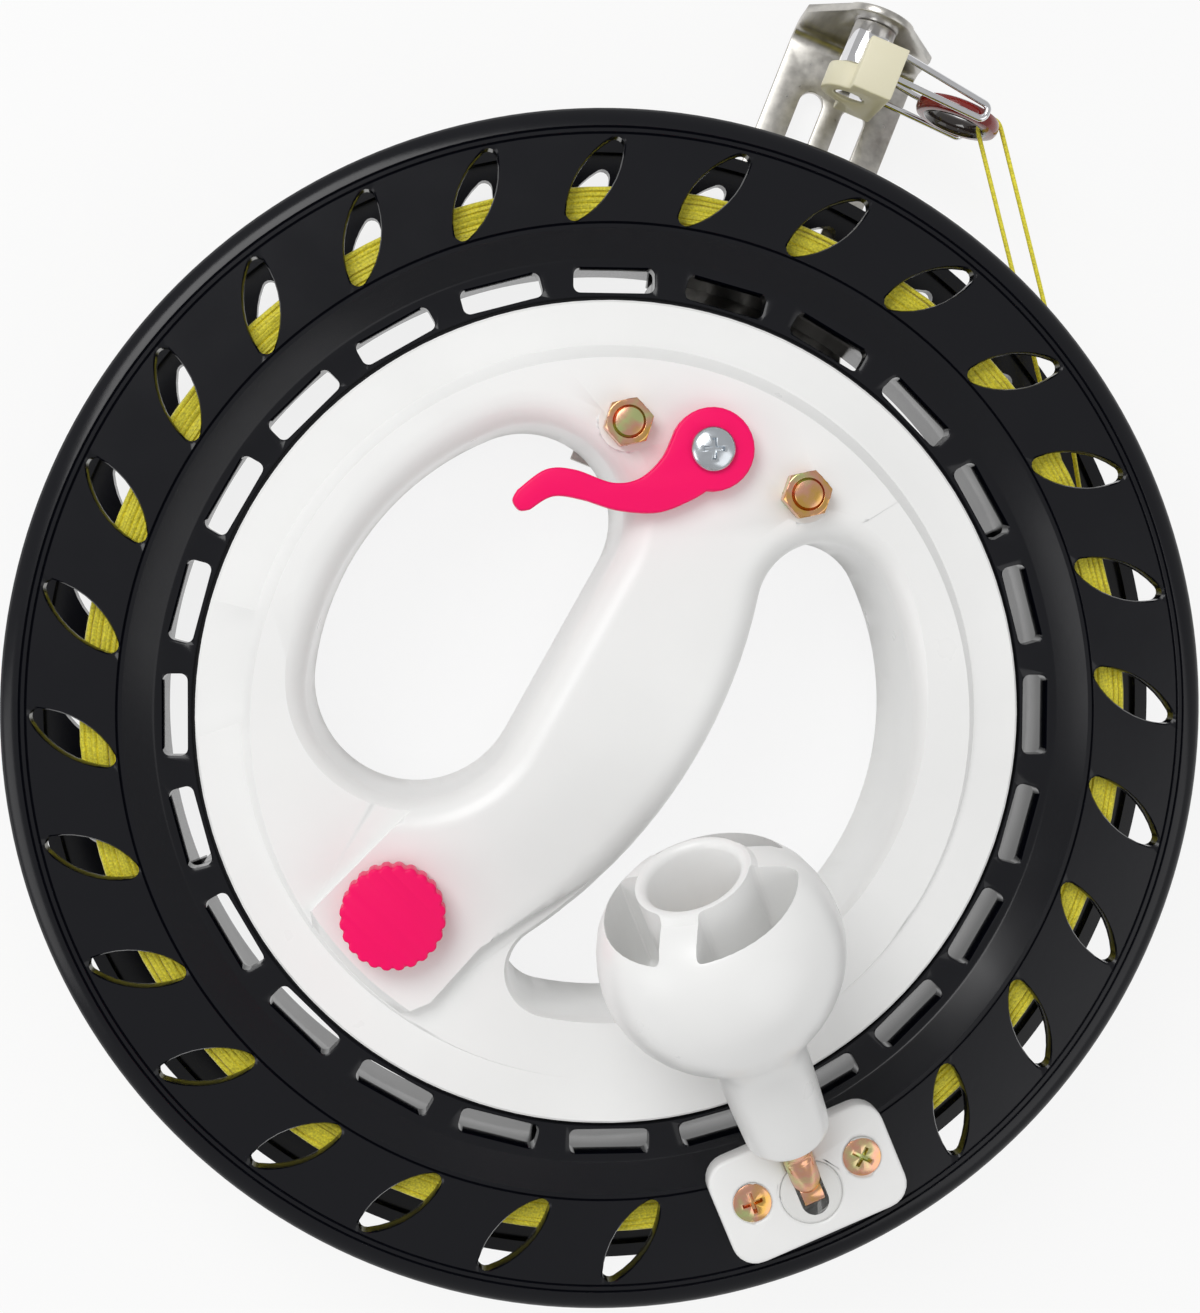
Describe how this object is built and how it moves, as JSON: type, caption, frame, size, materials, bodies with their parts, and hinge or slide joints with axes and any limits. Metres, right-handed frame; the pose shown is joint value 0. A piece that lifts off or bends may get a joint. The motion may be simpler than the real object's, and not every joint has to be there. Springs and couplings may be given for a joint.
{
  "type": "kite line winder",
  "caption": "Hand-held line reel with a windowed wheel on a large bearing, two finger openings, folding crank, brake lever, lock knob and swivelling line guide.",
  "frame": {"origin": "on the spin axis, at the plane that the handle's back rests on", "axes": "Z is the spin axis, crank side up; Y points to the top of the pictured view, X to its right"},
  "size_m": [0.22, 0.2453, 0.0913],
  "materials": {
    "handle_plastic": "glossy white moulded plastic",
    "reel_plastic": "glossy black moulded plastic",
    "pink_plastic": "bright pink moulded plastic",
    "ivory_nylon": "ivory nylon",
    "white_nylon": "satin white nylon",
    "bearing_steel": "ground bearing steel",
    "stainless": "brushed stainless sheet",
    "chrome": "bright plated steel",
    "zinc": "yellow zinc plated steel",
    "screw_steel": "zinc plated steel",
    "rubber": "black brake rubber",
    "line_yellow": "yellow braided line",
    "ring_red": "dark red ring frame",
    "ceramic": "dark polished ceramic"
  },
  "bodies": {
    "handle": {"handle_front_shell": "handle_plastic", "handle_rear_shell": "handle_plastic", "shell_screws": "screw_steel", "bearing_inner_race": "bearing_steel", "lever_spring": "bearing_steel", "lock_collar": "white_nylon", "guide_bracket": "stainless", "bracket_bolts": "zinc", "bracket_nuts": "zinc", "guide_post": "chrome", "free_line": "line_yellow"},
    "reel": {"bearing_outer_race": "bearing_steel", "reel_front_half": "reel_plastic", "reel_rear_half": "reel_plastic", "reel_screws": "screw_steel", "line_core": "line_yellow", "line_turns": "line_yellow", "crank_base": "handle_plastic", "crank_insert": "white_nylon", "crank_screws": "zinc", "crank_pin": "screw_steel"},
    "cage": {"bearing_cage": "white_nylon", "bearing_balls": "bearing_steel"},
    "crank": {"crank_rod": "zinc", "grip_washer": "screw_steel", "grip_nut": "zinc"},
    "grip": {"crank_grip": "handle_plastic"},
    "lever": {"brake_lever": "pink_plastic", "brake_cam": "screw_steel", "lever_screw": "screw_steel"},
    "brake": {"brake_shoe": "white_nylon", "brake_pad": "rubber"},
    "lock": {"lock_knob": "pink_plastic", "lock_cam": "screw_steel"},
    "lock_slider": {"lock_shoe": "white_nylon"},
    "guide": {"guide_bush": "ivory_nylon", "guide_wire": "chrome", "guide_ring_frame": "ring_red", "guide_ring_liner": "ceramic"}
  },
  "joints": [
    {"name": "reel_spin", "type": "hinge", "parent": "handle", "child": "reel", "pos_m": [0, 0, 0.0315], "axis": [0, 0, 1], "continuous": true, "deforming": ["free_line"]},
    {"name": "cage_spin", "type": "hinge", "parent": "handle", "child": "cage", "pos_m": [0, 0, 0.03155], "axis": [0, 0, 1], "continuous": true},
    {"name": "crank_fold", "type": "hinge", "parent": "reel", "child": "crank", "pos_m": [0.0359, -0.08709, 0.0445], "axis": [0.9245, 0.3811, 0], "range_deg": [0, 64]},
    {"name": "grip_spin", "type": "hinge", "parent": "crank", "child": "grip", "pos_m": [0.0359, -0.08709, 0.0445], "axis": [-0.3425, 0.831, 0.4384], "continuous": true},
    {"name": "brake_lever_turn", "type": "hinge", "parent": "handle", "child": "lever", "pos_m": [0.0175, 0.0483, 0.044], "axis": [0, 0, 1], "range_deg": [0, 20], "stiffness_Nm_per_rad": 0.05},
    {"name": "brake_shoe_slide", "type": "slide", "parent": "handle", "child": "brake", "axis": [0.3406, 0.9402, 0], "range_m": [0, 0.00106]},
    {"name": "lock_turn", "type": "hinge", "parent": "handle", "child": "lock", "pos_m": [-0.0401, -0.0353, 0.045], "axis": [0, 0, 1], "range_deg": [0, 90.1]},
    {"name": "lock_shoe_slide", "type": "slide", "parent": "handle", "child": "lock_slider", "axis": [-0.7506, -0.6608, 0], "range_m": [0, 0.0012]},
    {"name": "guide_swivel", "type": "hinge", "parent": "handle", "child": "guide", "pos_m": [0.04807, 0.12079, 0.023], "axis": [0.3697, 0.9291, 0], "range_deg": [-35, 25], "deforming": ["free_line"]}
  ],
  "couplings": [
    {"joint": "cage_spin", "follows": "reel_spin", "ratio": 0.5197},
    {"joint": "brake_shoe_slide", "follows": "brake_lever_turn", "m_per_rad": 0.003},
    {"joint": "lock_turn", "follows": "lock_shoe_slide", "rad_per_m": 1309}
  ]
}
